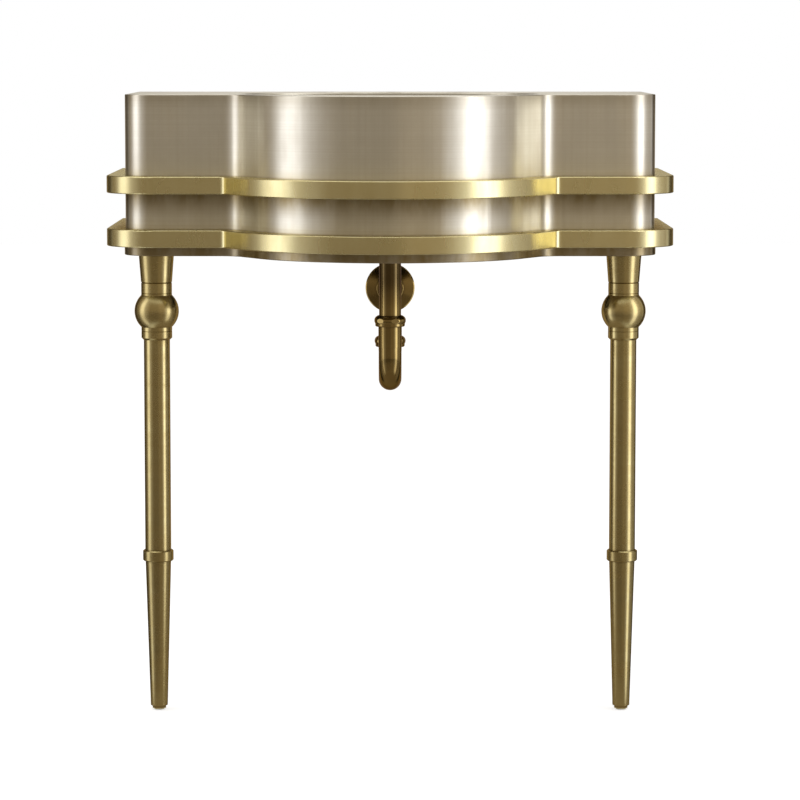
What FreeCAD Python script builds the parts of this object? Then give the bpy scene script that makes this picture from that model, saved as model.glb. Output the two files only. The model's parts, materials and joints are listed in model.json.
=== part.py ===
"""Console sink: a serpentine metal casing hung on the wall, two bands round it, two turned
front legs with levelling feet, an oval basin with a push stopper, and a P-trap to the wall.

Millimetres. +Z is up, the front faces -Y, and the origin lies on the floor, at the middle of
the object's width and depth. Each solid group is written to parts/NODE.step.
"""

import FreeCAD, Part
import math
import os

from FreeCAD import Vector

# ---------------------------------------------------------------- driving dimensions
# Casing: plan outline and heights
TOP_HEIGHT = 895.0          # floor to the top of the deck
CASE_WIDTH = 762.0
CASE_DEPTH = 500.0          # wall to the front of the bow
CASE_HEIGHT = 230.1         # top of the deck to the underside of the pan
CORNER_RADIUS = 45.0        # the two front corners
BOW_RADIUS = 216.0          # the middle bow
BOW_PROUD = 168.0           # how far the bow stands in front of the shoulders
COVE_RADIUS = 40.0          # the hollow curve between a shoulder and the bow's flank
FLANK_LENGTH = 47.3         # the straight run between the bow and a cove
SHEET = 2.0                 # casing sheet
DECK_THICKNESS = 3.0
DECK_EDGE_ROUND = 1.2
DECK_OPENING_ROUND = 2.0
FIT = 0.2                   # clearance between faces that are pushed together

# Bands
BAND_PROUD = 27.0           # casing face to band face
BAND_HEIGHT = 25.0
BAND_EDGE_ROUND = 1.6
UPPER_BAND_DROP = 115.8     # deck top to band top
BAND_SCREW_RADIUS = 3.0
BAND_SCREW_BITE = 15.0      # length of screw in the band
BAND_SCREW_END_GAP = 1.0
SCREW_HEAD_RADIUS = 5.5
SCREW_HEAD_HEIGHT = 4.0
SCREW_SLACK = 0.1           # screw to threaded hole
SCREW_CLEAR = 0.4           # screw to clearance hole
SIDE_SCREW_FROM_WALL = 70.0
SIDE_SCREW_FROM_CORNER = 57.0
BOW_SCREW_ANGLES = (-40.0, -20.0, 20.0, 40.0)

# Base pan
PAN_BELOW_BAND = 13.2       # underside of the lower band to the underside of the pan
PAN_LIP_GAP = 0.5           # lip to the lower band
PAN_LIP_THICKNESS = 1.5
PAN_FLOOR = 2.0
PAN_EDGE_ROUND = 1.4
SERVICE_WIDTH = 520.0       # opening for the plumber's hands and the drain
SERVICE_FROM_WALL = 60.0
SERVICE_PAST_DRAIN = 40.0   # opening's front edge ahead of the drain's axis
SERVICE_CORNER = 30.0

# Wall fixing
PANEL_THICKNESS = 3.0
WALL_PLATE_THICKNESS = 5.0
WALL_PLATE_WIDTH = 500.0
WALL_PLATE_HEIGHT = 130.0
WALL_BOLT_RADIUS = 5.5
WALL_BOLT_SPACING_X = 406.4
WALL_BOLT_SPACING_Z = 80.0
WALL_BOLT_DROP = 80.0       # deck top to the middle of the pattern

# Basin and tap holes
BASIN_HALF_WIDTH = 215.0
BASIN_HALF_DEPTH = 150.0
BASIN_DEPTH = 140.0         # deck top to the basin floor
BASIN_RIM = 14.0
BASIN_FLOOR_RADIUS = 46.0
BASIN_SHEET = 2.0
BASIN_FULLNESS = 2.6        # exponent of the side curve: 2 is an ellipse, more is boxier
BASIN_SECTIONS = 9
DRAIN_FROM_WALL = 250.0
TAP_HOLE_RADIUS = 17.5
TAP_HOLE_SPACING = 101.6
TAP_HOLES_FROM_WALL = 52.0

# Fits of turned and sliding pieces
SPIGOT_SLACK = 0.1          # radial clearance of a piece that stands in another
RUNNING = 0.08              # radial clearance of a piece that turns or slides in another

# Waste tube
TUBE_RADIUS = 16.0          # 32 mm waste tube
TUBE_WALL = 1.0

# Drain fitting
DRAIN_BODY_WALL = 4.4       # round the tailpiece's socket
DRAIN_FLANGE_RADIUS = 31.0
DRAIN_FLANGE_THICKNESS = 3.0
DRAIN_FLANGE_BEVEL = 1.0
DRAIN_HOLE_SLACK = 0.5
TAILPIECE_SOCKET_DEPTH = 12.0
SOCKET_UNDER_SPIDER = 3.5
SPIDER_HEIGHT = 9.0
SPIDER_HUB_RADIUS = 9.0
SPIDER_RIB = 2.5
GASKET_RADIUS = 31.0
GASKET_THICKNESS = 5.0
FRICTION_RING_RADIUS = 29.0
FRICTION_RING_THICKNESS = 1.0
LOCK_NUT_FLATS = 56.0
LOCK_NUT_HEIGHT = 12.0

# Push stopper
STOPPER_TRAVEL = 9.0
STOPPER_CAP_RADIUS = 27.0
STOPPER_CAP_EDGE = 2.0
STOPPER_CAP_CROWN = 3.0
STOPPER_STEM_RADIUS = 4.0
STOPPER_STEM_LENGTH = 42.0
STOPPER_SEAL_RADIUS = 23.0
STOPPER_SEAL_WIDTH = 4.0
STOPPER_SEAL_THICKNESS = 2.0
SEAT_GAP = 0.15             # seal to flange when the stopper is shut
STEM_END_GAP = 1.0          # stem to the cartridge's floor when the stopper is shut
CARTRIDGE_RADIUS = 7.0
CARTRIDGE_LENGTH = 34.0
CARTRIDGE_FLOOR = 1.5
CARTRIDGE_UNDER_SPIDER = 3.0

# Trap
TRAP_BEND_DROP = 149.4      # underside of the pan to the centre of the U bend
TRAP_BEND_RADIUS = 38.0
TRAP_TUBE_PROUD = 0.7       # the bend's tube is this much fatter than the waste tube
TRAP_TUBE_WALL = 1.2
TRAP_TUBE_RISE = 11.8       # bend to the inlet socket
INLET_SOCKET_LENGTH = 35.7
OUTLET_SOCKET_LENGTH = 11.5
SOCKET_WALL = 0.9
FERRULE_PROUD = 2.4         # thread round the top of a socket
FERRULE_HEIGHT = 5.0
TUBE_END_GAP = 2.0          # tube end to the bottom of its socket
SLIP_WASHER_HEIGHT = 4.0
SLIP_NUT_HEIGHT = 15.8
SLIP_NUT_BAND = 4.4         # the plain band under the bulge
SLIP_NUT_SKIRT = 5.2        # how far the nut reaches below the ferrule top
SLIP_NUT_WALL = 1.9
SLIP_NUT_BEVEL = 1.2
SLIP_NUT_BULGE = 1.35       # the bulge stands this far past the band
SLIP_NUT_BULGE_DROP = 6.2   # nut top to the widest place
SLIP_NUT_NECK_WALL = 1.8
SLIP_NUT_FLAT_DEPTH = 0.7   # depth of the six flats on the bulge
SLIP_NUT_TURN = 20.0        # angle of the nut's flats as it was tightened
ARM_RISE = 81.5             # centre of the U bend to the centre of the tube at the wall
OUTLET_STUB = 30.0          # tube past the wall face
OUTLET_STEP = 0.5           # the stub is drawn down by this radius to enter the wall's socket
OUTLET_CONE = 2.0           # length of the step
ESCUTCHEON_RADIUS = 37.5
ESCUTCHEON_EDGE = 1.5       # height of the square edge
ESCUTCHEON_RIM = 2.5
ESCUTCHEON_RIM_BEVEL = 1.5
ESCUTCHEON_CROWN = 5.5
ESCUTCHEON_HUB_RADIUS = 21.0
ESCUTCHEON_HUB_LENGTH = 13.0
ESCUTCHEON_HUB_ROUND = 2.0

# Legs
LEG_INSET = 43.7            # leg axis from the casing's side
LEG_SETBACK = 46.0          # leg axis behind the face of the shoulders
CAP_TOP_RADIUS = 25.4
CAP_BOTTOM_RADIUS = 22.4
CAP_HEIGHT = 40.5
RING_RADIUS = 22.2
UPPER_RING_HEIGHT = 15.4
LOWER_RING_HEIGHT = 12.4
LOWER_RING_BEVEL = 2.8
BALL_RADIUS = 32.0
BALL_UPPER_NECK = 2.9
BALL_LOWER_NECK = 5.9
GROOVE = 0.9                # bevel on each side of a turned joint line
FINE_GROOVE = 0.45
SHAFT_RADIUS = 18.9
SHAFT_WALL = 3.0
COLLAR_PROUD = 3.3
COLLAR_HEIGHT = 15.6
COLLAR_BELOW_JOINT = 2.8
COLLAR_BEVEL = 1.3
TAPER_LENGTH = 216.2
TAPER_STEP = 0.2            # the taper's top is this much slimmer than the shaft
TAPER_BOTTOM_RADIUS = 12.4
TAPER_EDGE = 0.6
SPIGOT_LENGTH = 22.0
ROD_RADIUS = 6.0
ROD_HOLE_CLEAR = 0.5
ROD_THREAD_DEPTH = 30.0
ROD_END_GAP = 2.0
ROD_PAST_NUT = 3.0
BLOCK_RADIUS = 28.0
BLOCK_HEIGHT = 15.0
LEG_WASHER_RADIUS = 14.0
LEG_WASHER_THICKNESS = 2.5
LEG_NUT_FLATS = 19.0
LEG_NUT_HEIGHT = 10.0

# Levelling feet
FOOT_GAP = 0.3              # bolt head to the end of the leg
FOOT_FLATS = 17.0
FOOT_HEAD_HEIGHT = 4.0
FOOT_PAD_THICKNESS = 1.5
FOOT_PAD_RADIUS = 7.5
FOOT_PIN_RADIUS = 2.0
FOOT_PIN_LENGTH = 2.5
FOOT_STEM_RADIUS = 5.0
FOOT_STEM_LENGTH = 32.0
FOOT_STEM_SPARE = 3.0       # hole past the end of the stem

# ---------------------------------------------------------------- derived sizes and places
# Plan
WALL_Y = (CASE_DEPTH + BAND_PROUD - OUTLET_STUB) / 2
BOW_Y = WALL_Y - CASE_DEPTH
SHOULDER_Y = BOW_Y + BOW_PROUD
CORNER_X = CASE_WIDTH / 2 - CORNER_RADIUS
CORNER_Y = SHOULDER_Y + CORNER_RADIUS
BOW_CENTRE_Y = BOW_Y + BOW_RADIUS
COVE_CENTRE_Y = SHOULDER_Y - COVE_RADIUS
BOW_TO_COVE = math.hypot(BOW_RADIUS + COVE_RADIUS, FLANK_LENGTH)
COVE_X = math.sqrt(BOW_TO_COVE**2 - (BOW_CENTRE_Y - COVE_CENTRE_Y) ** 2)
DRAIN_Y = WALL_Y - DRAIN_FROM_WALL

# Casing heights
DECK_UNDER = TOP_HEIGHT - DECK_THICKNESS
PAN_UNDER = TOP_HEIGHT - CASE_HEIGHT
PAN_TOP = PAN_UNDER + PAN_FLOOR
PAN_LIP_HEIGHT = PAN_BELOW_BAND - PAN_LIP_GAP
LOWER_BAND_DROP = CASE_HEIGHT - PAN_BELOW_BAND - BAND_HEIGHT
WALL_BOLT_HEIGHT = TOP_HEIGHT - WALL_BOLT_DROP

# Basin, drain and stopper
BASIN_FLOOR = TOP_HEIGHT - BASIN_DEPTH
BASIN_UNDER = BASIN_FLOOR - BASIN_SHEET
FLANGE_TOP = BASIN_FLOOR + DRAIN_FLANGE_THICKNESS
SEAL_LOW = FLANGE_TOP + SEAT_GAP + STOPPER_TRAVEL
CAP_UNDER = SEAL_LOW + STOPPER_SEAL_THICKNESS
STEM_LOW = CAP_UNDER - STOPPER_STEM_LENGTH
CARTRIDGE_LOW = STEM_LOW - STOPPER_TRAVEL - STEM_END_GAP - CARTRIDGE_FLOOR
SPIDER_LOW = CARTRIDGE_LOW + CARTRIDGE_UNDER_SPIDER
SPIDER_TOP = SPIDER_LOW + SPIDER_HEIGHT
BODY_END = SPIDER_LOW - SOCKET_UNDER_SPIDER - TAILPIECE_SOCKET_DEPTH
TUBE_BORE = TUBE_RADIUS - TUBE_WALL
TUBE_SOCKET = TUBE_RADIUS + SPIGOT_SLACK
DRAIN_BODY_RADIUS = TUBE_SOCKET + DRAIN_BODY_WALL

# Trap
TRAP_BEND_HEIGHT = PAN_UNDER - TRAP_BEND_DROP
TRAP_HUB_Y = DRAIN_Y + TRAP_BEND_RADIUS
OUTLET_Y = TRAP_HUB_Y + TRAP_BEND_RADIUS
ARM_BEND_Y = OUTLET_Y + TRAP_BEND_RADIUS
INLET_LOW = TRAP_BEND_HEIGHT + TRAP_TUBE_RISE
TRAP_INLET_HEIGHT = INLET_LOW + INLET_SOCKET_LENGTH
TRAP_OUTLET_HEIGHT = TRAP_BEND_HEIGHT + OUTLET_SOCKET_LENGTH
ARM_HEIGHT = TRAP_BEND_HEIGHT + ARM_RISE
TRAP_TUBE_RADIUS = TUBE_RADIUS + TRAP_TUBE_PROUD
SOCKET_BORE = TUBE_RADIUS + FIT
SOCKET_RADIUS = SOCKET_BORE + SOCKET_WALL
FERRULE_RADIUS = SOCKET_RADIUS + FERRULE_PROUD
SLIP_NUT_BORE = FERRULE_RADIUS + FIT
SLIP_NUT_BAND_RADIUS = SLIP_NUT_BORE + SLIP_NUT_WALL
SLIP_NUT_BULGE_RADIUS = SLIP_NUT_BAND_RADIUS + SLIP_NUT_BULGE
SLIP_NUT_NECK_RADIUS = SOCKET_BORE + SLIP_NUT_NECK_WALL

# Legs, from the casing down to the floor
LEG_SPACING = CASE_WIDTH - 2 * LEG_INSET
LEG_X = LEG_SPACING / 2
LEG_Y = SHOULDER_Y + LEG_SETBACK
CAP_LOW = PAN_UNDER - CAP_HEIGHT
UPPER_RING_LOW = CAP_LOW - UPPER_RING_HEIGHT
BALL_REACH = math.sqrt(BALL_RADIUS**2 - RING_RADIUS**2)
BALL_Z = UPPER_RING_LOW - BALL_UPPER_NECK - BALL_REACH
BALL_LOW = BALL_Z - BALL_REACH - BALL_LOWER_NECK
SHAFT_TOP = BALL_LOW - LOWER_RING_HEIGHT
LEG_END = FOOT_PAD_THICKNESS + FOOT_HEAD_HEIGHT + FOOT_GAP
TAPER_TOP = LEG_END + TAPER_LENGTH
TAPER_TOP_RADIUS = SHAFT_RADIUS - TAPER_STEP
COLLAR_LOW = TAPER_TOP - COLLAR_BELOW_JOINT
COLLAR_TOP = COLLAR_LOW + COLLAR_HEIGHT
SHAFT_BORE = SHAFT_RADIUS - SHAFT_WALL
SPIGOT_RADIUS = SHAFT_BORE - SPIGOT_SLACK
SPIGOT_TOP = TAPER_TOP + SPIGOT_LENGTH
ROD_HOLE_RADIUS = ROD_RADIUS + ROD_HOLE_CLEAR
ROD_THREAD_RADIUS = ROD_RADIUS + SPIGOT_SLACK
ROD_HOLE_LOW = SPIGOT_TOP - ROD_THREAD_DEPTH
BLOCK_TOP = PAN_TOP + BLOCK_HEIGHT
LEG_WASHER_TOP = BLOCK_TOP + LEG_WASHER_THICKNESS
LEG_NUT_TOP = LEG_WASHER_TOP + LEG_NUT_HEIGHT

# ---------------------------------------------------------------- construction aids
OVERRUN = 5.0               # how far a cutting tool passes a face
NEAR = 0.01                 # two places this close are the same
UP = Vector(0, 0, 1)
BACK = Vector(0, 1, 0)
RIGHT = Vector(1, 0, 0)
CENTRE = Vector(0, 0, 0)


# ---------------------------------------------------------------- shape helpers
def line(a, b):
    return Part.LineSegment(a, b).toShape()


def arc(a, middle, b):
    return Part.Arc(a, middle, b).toShape()


def box(low, high):
    return Part.makeBox(high.x - low.x, high.y - low.y, high.z - low.z, low)


def moved(shape, x, y, z=0.0):
    shape.translate(Vector(x, y, z))
    return shape


def cylinder(radius, low, high):
    """An upright cylinder about the Z axis."""
    return Part.makeCylinder(radius, high - low, Vector(0, 0, low), UP)


def ring(outer, inner, low, high):
    """An upright tube or washer about the Z axis."""
    return cylinder(outer, low, high).cut(cylinder(inner, low, high))


def hexagon(flats, low, high, turn=0.0):
    """An upright hexagonal prism about the Z axis, with a corner at the angle turn from +X."""
    reach = flats / math.sqrt(3)
    angles = [math.radians(turn + 60 * i) for i in range(7)]
    corners = [Vector(reach * math.cos(a), reach * math.sin(a), low) for a in angles]
    return Part.Face(Part.makePolygon(corners)).extrude(UP * (high - low))


def turned(points, bore=0.0, arcs=None):
    """A solid turned about the Z axis. Points are (radius, height) in order, and arcs gives the
    middle point of the curve that starts at that point's number."""
    arcs = arcs or {}
    spots = [Vector(r, 0, z) for r, z in points]
    edges = []
    for i, start in enumerate(spots):
        end = spots[(i + 1) % len(spots)]
        if i in arcs:
            edges.append(arc(start, Vector(arcs[i][0], 0, arcs[i][1]), end))
        else:
            edges.append(line(start, end))
    solid = Part.Face(Part.Wire(edges)).revolve(CENTRE, UP, 360)
    if bore:
        heights = [z for _, z in points]
        solid = solid.cut(cylinder(bore, min(heights), max(heights)))
    return solid


# ---------------------------------------------------------------- the casing's plan
def outline(offset, back):
    """The casing's plan, grown by offset, closed by a straight line at y = back."""
    half = CASE_WIDTH / 2 + offset
    front = SHOULDER_Y - offset
    corner = Vector(CORNER_X, CORNER_Y, 0)
    bow = Vector(0, BOW_CENTRE_Y, 0)
    cove = Vector(COVE_X, COVE_CENTRE_Y, 0)
    lean = math.atan2(FLANK_LENGTH, BOW_RADIUS + COVE_RADIUS)
    heading = math.atan2(cove.y - bow.y, cove.x - bow.x) - lean
    flank = Vector(math.cos(heading), math.sin(heading), 0)
    bow_end = bow + flank * (BOW_RADIUS + offset)
    cove_start = cove - flank * (COVE_RADIUS - offset)
    cove_middle = cove + (BACK - flank).normalize() * (COVE_RADIUS - offset)
    corner_middle = corner + (RIGHT - BACK).normalize() * (CORNER_RADIUS + offset)

    def flip(p):
        return Vector(-p.x, p.y, p.z)

    p_back = Vector(half, back, 0)
    p_side = Vector(half, corner.y, 0)
    p_corner = Vector(corner.x, front, 0)
    p_cove = Vector(cove.x, front, 0)
    p_front = Vector(0, BOW_Y - offset, 0)
    return Part.Wire(
        [
            line(p_back, p_side),
            arc(p_side, corner_middle, p_corner),
            line(p_corner, p_cove),
            arc(p_cove, cove_middle, cove_start),
            line(cove_start, bow_end),
            arc(bow_end, p_front, flip(bow_end)),
            line(flip(bow_end), flip(cove_start)),
            arc(flip(cove_start), flip(cove_middle), flip(p_cove)),
            line(flip(p_cove), flip(p_corner)),
            arc(flip(p_corner), flip(corner_middle), flip(p_side)),
            line(flip(p_side), flip(p_back)),
            line(flip(p_back), p_back),
        ]
    )


def plan_solid(offset, low, high, back=WALL_Y):
    face = Part.Face(outline(offset, back))
    face.translate(Vector(0, 0, low))
    return face.extrude(UP * (high - low))


def is_level(edge, z):
    return abs(edge.BoundBox.ZMin - z) < NEAR and edge.BoundBox.ZLength < NEAR


def plan_edges(shape, z, offset):
    """The edges of shape at height z that lie on the plan grown by offset, without its back."""
    guide = outline(offset, WALL_Y)
    guide.translate(Vector(0, 0, z))
    picked = []
    for edge in shape.Edges:
        middle = edge.valueAt((edge.FirstParameter + edge.LastParameter) / 2)
        on_back = abs(middle.y - WALL_Y) < NEAR
        if is_level(edge, z) and not on_back and guide.distToShape(Part.Vertex(middle))[0] < NEAR:
            picked.append(edge)
    return picked


# ---------------------------------------------------------------- casing
def basin_oval(grow, z):
    centre = Vector(0, DRAIN_Y, z)
    curve = Part.Ellipse(
        centre + RIGHT * (BASIN_HALF_WIDTH + grow), centre + BACK * (BASIN_HALF_DEPTH + grow), centre
    )
    return Part.Wire([curve.toShape()])


def bowl(grow, floor):
    """The basin's inner or outer form, from the deck's underside down to a round floor."""
    wires = []
    for i in range(BASIN_SECTIONS - 1):
        share = math.sin(math.pi / 2 * i / (BASIN_SECTIONS - 1))
        fullness = (1 - share**BASIN_FULLNESS) ** (1 / BASIN_FULLNESS)
        half_width = BASIN_FLOOR_RADIUS + (BASIN_HALF_WIDTH - BASIN_FLOOR_RADIUS) * fullness + grow
        half_depth = BASIN_FLOOR_RADIUS + (BASIN_HALF_DEPTH - BASIN_FLOOR_RADIUS) * fullness + grow
        centre = Vector(0, DRAIN_Y, DECK_UNDER + (floor - DECK_UNDER) * share)
        curve = Part.Ellipse(centre + RIGHT * half_width, centre + BACK * half_depth, centre)
        wires.append(Part.Wire([curve.toShape()]))
    floor_circle = Part.Circle(Vector(0, DRAIN_Y, floor), UP, BASIN_FLOOR_RADIUS + grow)
    wires.append(Part.Wire([floor_circle.toShape()]))
    return Part.makeLoft(wires, True, False)


def basin():
    rim = Part.Face(basin_oval(BASIN_RIM, DECK_UNDER)).extrude(UP * -BASIN_SHEET)
    drain_hole = cylinder(
        DRAIN_BODY_RADIUS + DRAIN_HOLE_SLACK, BASIN_UNDER - OVERRUN, BASIN_FLOOR + OVERRUN
    )
    shell = bowl(BASIN_SHEET, BASIN_UNDER).fuse(rim).cut(bowl(0, BASIN_FLOOR))
    return shell.cut(moved(drain_hole, 0, DRAIN_Y))


def deck():
    plate = plan_solid(0, DECK_UNDER, TOP_HEIGHT)
    plate = plate.makeFillet(DECK_EDGE_ROUND, plan_edges(plate, TOP_HEIGHT, 0))
    plate = plate.cut(Part.Face(basin_oval(0, DECK_UNDER)).extrude(UP * DECK_THICKNESS))
    rim = [e for e in plate.Edges if is_level(e, TOP_HEIGHT) and isinstance(e.Curve, Part.Ellipse)]
    plate = plate.makeFillet(DECK_OPENING_ROUND, rim)
    for x in (-TAP_HOLE_SPACING, 0, TAP_HOLE_SPACING):
        hole = cylinder(TAP_HOLE_RADIUS, DECK_UNDER, TOP_HEIGHT)
        plate = plate.cut(moved(hole, x, WALL_Y - TAP_HOLES_FROM_WALL))
    return plate


def service_opening():
    high = Vector(SERVICE_WIDTH / 2, WALL_Y - SERVICE_FROM_WALL, PAN_TOP)
    low = Vector(-SERVICE_WIDTH / 2, DRAIN_Y - SERVICE_PAST_DRAIN, PAN_UNDER)
    hole = box(low, high)
    upright = [e for e in hole.Edges if e.BoundBox.ZLength > PAN_FLOOR / 2]
    return hole.makeFillet(SERVICE_CORNER, upright)


def base_pan():
    outer = FIT + PAN_LIP_THICKNESS
    lip_top = PAN_UNDER + PAN_LIP_HEIGHT
    pan = plan_solid(outer, PAN_UNDER, lip_top)
    pan = pan.makeFillet(PAN_EDGE_ROUND, plan_edges(pan, PAN_UNDER, outer))
    pan = pan.cut(plan_solid(FIT, PAN_TOP, lip_top, WALL_Y + OVERRUN))
    pan = pan.cut(service_opening())
    for x in (-LEG_X, LEG_X):
        pan = pan.cut(moved(cylinder(ROD_HOLE_RADIUS, PAN_UNDER, PAN_TOP), x, LEG_Y))
    return pan


def drilled_for_wall(solid):
    """The solid with the four wall bolt holes through it."""
    length = PANEL_THICKNESS + WALL_PLATE_THICKNESS + 2 * OVERRUN
    for x in (-WALL_BOLT_SPACING_X / 2, WALL_BOLT_SPACING_X / 2):
        for z in (-WALL_BOLT_SPACING_Z / 2, WALL_BOLT_SPACING_Z / 2):
            start = Vector(x, WALL_Y + OVERRUN, WALL_BOLT_HEIGHT + z)
            solid = solid.cut(Part.makeCylinder(WALL_BOLT_RADIUS, length, start, -BACK))
    return solid


def back_panel():
    half = CASE_WIDTH / 2 - SHEET
    panel = box(
        Vector(-half, WALL_Y - PANEL_THICKNESS, PAN_TOP), Vector(half, WALL_Y, DECK_UNDER)
    )
    return drilled_for_wall(panel)


def wall_plate():
    back = WALL_Y - PANEL_THICKNESS
    half_width = WALL_PLATE_WIDTH / 2
    half_height = WALL_PLATE_HEIGHT / 2
    plate = box(
        Vector(-half_width, back - WALL_PLATE_THICKNESS, WALL_BOLT_HEIGHT - half_height),
        Vector(half_width, back, WALL_BOLT_HEIGHT + half_height),
    )
    return drilled_for_wall(plate)


def apron():
    """The sheet wall that follows the plan, open at the back, with the band screws' holes."""
    wall = plan_solid(0, PAN_TOP, DECK_UNDER)
    wall = wall.cut(plan_solid(-SHEET, PAN_TOP, DECK_UNDER, WALL_Y + OVERRUN))
    for drop in (UPPER_BAND_DROP, LOWER_BAND_DROP):
        for spot, out in band_screw_places(drop):
            start = spot - out * (SHEET + OVERRUN)
            wall = wall.cut(
                Part.makeCylinder(BAND_SCREW_RADIUS + SCREW_CLEAR, SHEET + 2 * OVERRUN, start, out)
            )
    return wall


# ---------------------------------------------------------------- bands
def band_screw_places(drop):
    """(point on the casing's outer face, outward direction) of each screw of a band."""
    z = TOP_HEIGHT - drop - BAND_HEIGHT / 2
    places = []
    for side in (-1, 1):
        for y in (WALL_Y - SIDE_SCREW_FROM_WALL, CORNER_Y + SIDE_SCREW_FROM_CORNER):
            places.append((Vector(side * CASE_WIDTH / 2, y, z), RIGHT * side))
        shoulder_middle = side * (COVE_X + CORNER_X) / 2
        places.append((Vector(shoulder_middle, SHOULDER_Y, z), -BACK))
    bow = Vector(0, BOW_CENTRE_Y, z)
    for angle in BOW_SCREW_ANGLES:
        out = Vector(math.sin(math.radians(angle)), -math.cos(math.radians(angle)), 0)
        places.append((bow + out * BOW_RADIUS, out))
    return places


def band_screws(drop):
    under_head = SHEET + FIT
    screws = []
    for spot, out in band_screw_places(drop):
        seat = spot - out * under_head
        shank = Part.makeCylinder(BAND_SCREW_RADIUS, under_head + BAND_SCREW_BITE, seat, out)
        head = Part.makeCylinder(SCREW_HEAD_RADIUS, SCREW_HEAD_HEIGHT, seat, -out)
        screws.append(shank.fuse(head).removeSplitter())
    return Part.makeCompound(screws)


def band(drop):
    high = TOP_HEIGHT - drop
    low = high - BAND_HEIGHT
    bar = plan_solid(BAND_PROUD, low, high)
    edges = plan_edges(bar, low, BAND_PROUD) + plan_edges(bar, high, BAND_PROUD)
    bar = bar.makeFillet(BAND_EDGE_ROUND, edges)
    bar = bar.cut(plan_solid(FIT, low, high, WALL_Y + OVERRUN))
    depth = BAND_SCREW_BITE + BAND_SCREW_END_GAP
    for spot, out in band_screw_places(drop):
        bar = bar.cut(Part.makeCylinder(BAND_SCREW_RADIUS + SCREW_SLACK, depth, spot, out))
    return bar


# ---------------------------------------------------------------- drain and stopper
def spider():
    """Three ribs and a hub that hold the stopper's cartridge in the drain's throat."""
    hub = cylinder(SPIDER_HUB_RADIUS, SPIDER_LOW, SPIDER_TOP)
    for i in range(3):
        rib = box(
            Vector(0, -SPIDER_RIB / 2, SPIDER_LOW),
            Vector(TUBE_BORE + SPIDER_RIB, SPIDER_RIB / 2, SPIDER_TOP),
        )
        rib.rotate(CENTRE, UP, 90 + 120 * i)
        hub = hub.fuse(rib)
    return hub


def drain_body():
    """Flange, threaded body, throat, spider and the socket for the tailpiece."""
    flange = turned(
        [
            (0, BASIN_FLOOR),
            (DRAIN_FLANGE_RADIUS, BASIN_FLOOR),
            (DRAIN_FLANGE_RADIUS - DRAIN_FLANGE_BEVEL, FLANGE_TOP),
            (0, FLANGE_TOP),
        ]
    )
    body = cylinder(DRAIN_BODY_RADIUS, BODY_END, BASIN_FLOOR).fuse(flange)
    body = body.cut(cylinder(TUBE_BORE, BODY_END, FLANGE_TOP))
    body = body.cut(cylinder(TUBE_SOCKET, BODY_END, BODY_END + TAILPIECE_SOCKET_DEPTH))
    bore = cylinder(CARTRIDGE_RADIUS + SPIGOT_SLACK, SPIDER_LOW, SPIDER_TOP)
    return moved(body.fuse(spider()).cut(bore).removeSplitter(), 0, DRAIN_Y)


def drain_stack():
    """Gasket, friction ring and lock nut under the basin, from the top down."""
    bore = DRAIN_BODY_RADIUS + SPIGOT_SLACK
    gasket_low = BASIN_UNDER - GASKET_THICKNESS
    ring_low = gasket_low - FRICTION_RING_THICKNESS
    nut_low = ring_low - LOCK_NUT_HEIGHT
    nut = hexagon(LOCK_NUT_FLATS, nut_low, ring_low, 30).cut(cylinder(bore, nut_low, ring_low))
    pieces = {
        "drain_gasket": ring(GASKET_RADIUS, bore, gasket_low, BASIN_UNDER),
        "drain_friction_ring": ring(FRICTION_RING_RADIUS, bore, ring_low, gasket_low),
        "drain_lock_nut": nut,
    }
    return {name: moved(shape, 0, DRAIN_Y) for name, shape in pieces.items()}


def stopper_cap():
    """A disc with a shallow domed top."""
    edge = CAP_UNDER + STOPPER_CAP_EDGE
    crown = edge + STOPPER_CAP_CROWN
    dome = (STOPPER_CAP_RADIUS**2 + STOPPER_CAP_CROWN**2) / (2 * STOPPER_CAP_CROWN)
    ball = Part.makeSphere(dome, Vector(0, 0, crown - dome))
    return cylinder(STOPPER_CAP_RADIUS, CAP_UNDER, crown).common(ball)


def stopper():
    """The push stopper, drawn open. It shuts by moving down through its travel."""
    seal_bore = STOPPER_SEAL_RADIUS - STOPPER_SEAL_WIDTH
    cartridge_top = CARTRIDGE_LOW + CARTRIDGE_LENGTH
    stem_bore = cylinder(
        STOPPER_STEM_RADIUS + RUNNING, CARTRIDGE_LOW + CARTRIDGE_FLOOR, cartridge_top
    )
    pieces = {
        "stopper_cap": stopper_cap(),
        "stopper_seal": ring(STOPPER_SEAL_RADIUS, seal_bore, SEAL_LOW, CAP_UNDER),
        "stopper_stem": cylinder(STOPPER_STEM_RADIUS, STEM_LOW, CAP_UNDER),
        "stopper_cartridge": cylinder(CARTRIDGE_RADIUS, CARTRIDGE_LOW, cartridge_top).cut(stem_bore),
    }
    return {name: moved(shape, 0, DRAIN_Y) for name, shape in pieces.items()}


# ---------------------------------------------------------------- trap
def slip_nut(ferrule_top, y):
    """A slip nut: a bulge with six flats over a plain band, open below for the ferrule."""
    low = ferrule_top - SLIP_NUT_SKIRT
    high = low + SLIP_NUT_HEIGHT
    band_top = low + SLIP_NUT_BAND
    flats = 2 * (SLIP_NUT_BULGE_RADIUS - SLIP_NUT_FLAT_DEPTH)
    nut = turned(
        [
            (0, low),
            (SLIP_NUT_BAND_RADIUS - SLIP_NUT_BEVEL, low),
            (SLIP_NUT_BAND_RADIUS, low + SLIP_NUT_BEVEL),
            (SLIP_NUT_BAND_RADIUS, band_top),
            (SLIP_NUT_NECK_RADIUS, high),
            (0, high),
        ],
        arcs={3: (SLIP_NUT_BULGE_RADIUS, high - SLIP_NUT_BULGE_DROP)},
    )
    nut = nut.common(hexagon(flats, low, high, SLIP_NUT_TURN))
    nut = nut.cut(cylinder(SLIP_NUT_BORE, low, ferrule_top + SLIP_WASHER_HEIGHT))
    return moved(nut.cut(cylinder(SOCKET_BORE, low, high)), 0, y)


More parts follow.
